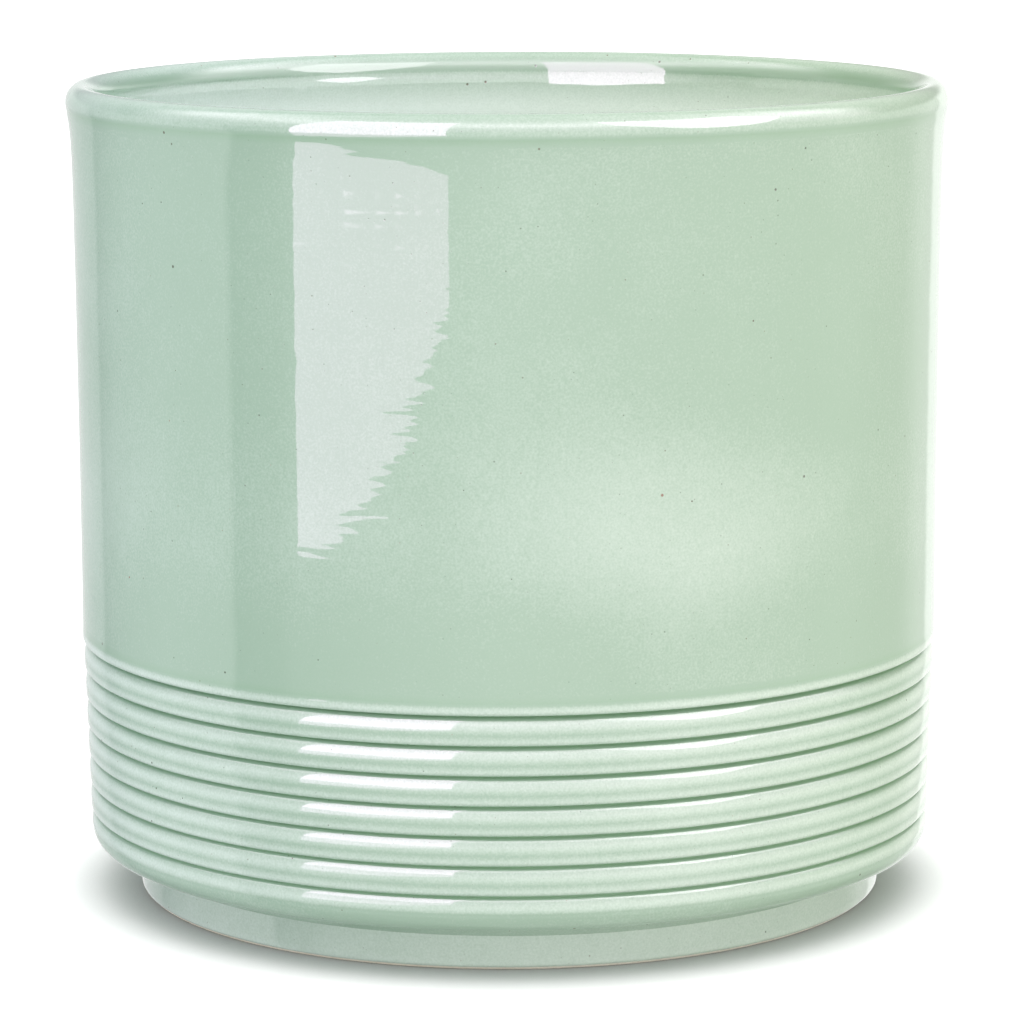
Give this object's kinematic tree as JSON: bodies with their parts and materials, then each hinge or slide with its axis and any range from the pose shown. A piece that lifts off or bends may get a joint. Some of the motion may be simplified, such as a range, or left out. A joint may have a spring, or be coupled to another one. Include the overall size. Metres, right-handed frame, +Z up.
{
  "type": "brush pot",
  "caption": "Open cylindrical glazed stoneware pot with a rolled lip, turned grooves low on the wall and a set-in foot ring, for standing brushes in.",
  "frame": {"origin": "centre of the foot ring, in the plane that it stands on", "axes": "+Z up along the axis that the pot was turned about, towards its open mouth; X and Y are level and equal"},
  "size_m": [0.162, 0.162, 0.15],
  "materials": {
    "bare_stoneware": "bare fired clay, fine grained, matt",
    "celadon_outside": "glossy pale green celadon, slightly wavy, paler on edges and deeper in grooves",
    "celadon_inside": "glossy pale green celadon, slightly wavy"
  },
  "bodies": {
    "root": {"stoneware_body": "bare_stoneware", "outer_glaze": "celadon_outside", "inner_glaze": "celadon_inside"}
  },
  "joints": []
}
